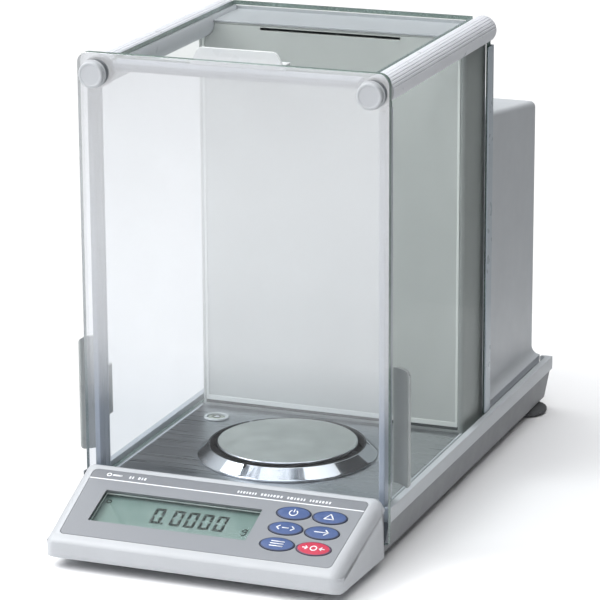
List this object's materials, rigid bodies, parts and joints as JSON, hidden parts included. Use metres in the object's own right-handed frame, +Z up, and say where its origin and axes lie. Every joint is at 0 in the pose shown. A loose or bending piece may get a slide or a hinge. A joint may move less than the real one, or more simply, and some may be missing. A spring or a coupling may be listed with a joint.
{
  "type": "analytical balance",
  "caption": "Analytical balance: glass draft shield with side and top doors that slide back, round pan in a draft ring, sloping console with keys, low rear cover.",
  "frame": {"origin": "on the surface it stands on, under the centre of the outer box", "axes": "+X to the user's right, +Y from the console to the rear, +Z up"},
  "size_m": [0.2184, 0.412, 0.3093],
  "materials": {
    "housing": "satin off-white moulded plastic",
    "deck": "light grey moulded plastic",
    "tray": "mid grey painted, fine texture",
    "wall": "light grey, satin",
    "stainless": "brushed stainless steel",
    "chrome": "polished",
    "rail": "white coated aluminium, fine ribs",
    "glass": "clear float glass, green at the edges",
    "acrylic": "clear moulded plastic",
    "handle": "grey moulded plastic",
    "panel": "silver printed overlay",
    "lens": "clear plastic",
    "lcd": "grey-green liquid crystal",
    "key_blue": "blue",
    "key_red": "red",
    "rubber": "dark grey",
    "board": "green circuit board",
    "steel": "machined",
    "copper": "enamelled winding",
    "black": "black"
  },
  "bodies": {
    "frame": {"base_tray": "tray", "deck_cover": "deck", "underhook_cover": "tray", "floor_plate": "stainless", "level_cup": "housing", "level_vial": "lens", "rear_tower": "housing", "rear_wall_panel": "wall", "rear_top_cap": "housing", "tower_back_cover": "deck", "rear_cover": "housing", "power_jack": "black", "data_port": "steel", "front_glass": "glass", "front_cross_bar": "rail", "top_rail_left": "rail", "corner_collar_left": "housing", "rail_cap_front_left": "housing", "rail_cap_rear_left": "housing", "front_post_left": "rail", "top_rail_right": "rail", "corner_collar_right": "housing", "rail_cap_front_right": "housing", "rail_cap_rear_right": "housing", "front_post_right": "rail", "console_housing": "housing", "console_panel": "panel", "display_window": "lens", "lcd_module": "lcd", "key_board": "board", "magnet_housing": "steel", "calibration_mass": "chrome", "calibration_motor": "black", "main_board": "board", "front_foot_left": "rubber", "front_foot_right": "rubber"},
    "weigh_carrier": {"pan_support": "steel", "load_arm": "steel", "force_coil": "copper"},
    "pan": {"weighing_pan": "stainless"},
    "draft_ring": {"breeze_ring": "chrome"},
    "left_door": {"left_door_glass": "glass", "left_door_trim": "handle", "left_door_handle": "handle"},
    "right_door": {"right_door_glass": "glass", "right_door_trim": "handle", "right_door_handle": "handle"},
    "top_door": {"top_door_glass": "glass", "top_door_tab": "acrylic"},
    "left_stud": {"foot_stud_left": "steel"},
    "left_disc": {"foot_disc_left": "rubber"},
    "right_stud": {"foot_stud_right": "steel"},
    "right_disc": {"foot_disc_right": "rubber"},
    "power_button": {"power_key": "key_blue"},
    "range_button": {"range_key": "key_blue"},
    "mode_button": {"mode_key": "key_blue"},
    "cal_button": {"cal_key": "key_blue"},
    "print_button": {"print_key": "key_blue"},
    "zero_button": {"zero_key": "key_red"}
  },
  "joints": [
    {"name": "left_door_slide", "type": "slide", "parent": "frame", "child": "left_door", "axis": [0, 1, 0], "range_m": [0, 0.126]},
    {"name": "right_door_slide", "type": "slide", "parent": "frame", "child": "right_door", "axis": [0, 1, 0], "range_m": [0, 0.126]},
    {"name": "top_door_slide", "type": "slide", "parent": "frame", "child": "top_door", "axis": [0, 1, 0], "range_m": [0, 0.126]},
    {"name": "weigh_travel", "type": "slide", "parent": "frame", "child": "weigh_carrier", "axis": [0, 0, 1], "range_m": [-0.0005, 0], "stiffness_N_per_m": 20000, "springref_m": 0.0005},
    {"name": "pan_lift_off", "type": "slide", "parent": "weigh_carrier", "child": "pan", "axis": [0, 0, 1], "range_m": [0, 0.06]},
    {"name": "ring_lift_off", "type": "slide", "parent": "frame", "child": "draft_ring", "axis": [0, 0, 1], "range_m": [0, 0.06]},
    {"name": "power_press", "type": "slide", "parent": "frame", "child": "power_button", "axis": [0, 0.342, -0.9397], "range_m": [0, 0.0008], "stiffness_N_per_m": 600, "springref_m": -0.0004},
    {"name": "range_press", "type": "slide", "parent": "frame", "child": "range_button", "axis": [0, 0.342, -0.9397], "range_m": [0, 0.0008], "stiffness_N_per_m": 600, "springref_m": -0.0004},
    {"name": "mode_press", "type": "slide", "parent": "frame", "child": "mode_button", "axis": [0, 0.342, -0.9397], "range_m": [0, 0.0008], "stiffness_N_per_m": 600, "springref_m": -0.0004},
    {"name": "cal_press", "type": "slide", "parent": "frame", "child": "cal_button", "axis": [0, 0.342, -0.9397], "range_m": [0, 0.0008], "stiffness_N_per_m": 600, "springref_m": -0.0004},
    {"name": "print_press", "type": "slide", "parent": "frame", "child": "print_button", "axis": [0, 0.342, -0.9397], "range_m": [0, 0.0008], "stiffness_N_per_m": 600, "springref_m": -0.0004},
    {"name": "zero_press", "type": "slide", "parent": "frame", "child": "zero_button", "axis": [0, 0.342, -0.9397], "range_m": [0, 0.0008], "stiffness_N_per_m": 600, "springref_m": -0.0004},
    {"name": "left_foot_screw", "type": "slide", "parent": "frame", "child": "left_stud", "axis": [0, 0, -1], "range_m": [0, 0.005]},
    {"name": "left_foot_turn", "type": "hinge", "parent": "left_stud", "child": "left_disc", "pos_m": [-0.0845, 0.187, 0], "axis": [0, 0, -1], "range_deg": [0, 1440]},
    {"name": "right_foot_screw", "type": "slide", "parent": "frame", "child": "right_stud", "axis": [0, 0, -1], "range_m": [0, 0.005]},
    {"name": "right_foot_turn", "type": "hinge", "parent": "right_stud", "child": "right_disc", "pos_m": [0.0845, 0.187, 0], "axis": [0, 0, -1], "range_deg": [0, 1440]}
  ],
  "couplings": [
    {"joint": "left_foot_screw", "follows": "left_foot_turn", "m_per_rad": 0.00019894},
    {"joint": "right_foot_screw", "follows": "right_foot_turn", "m_per_rad": 0.00019894}
  ]
}
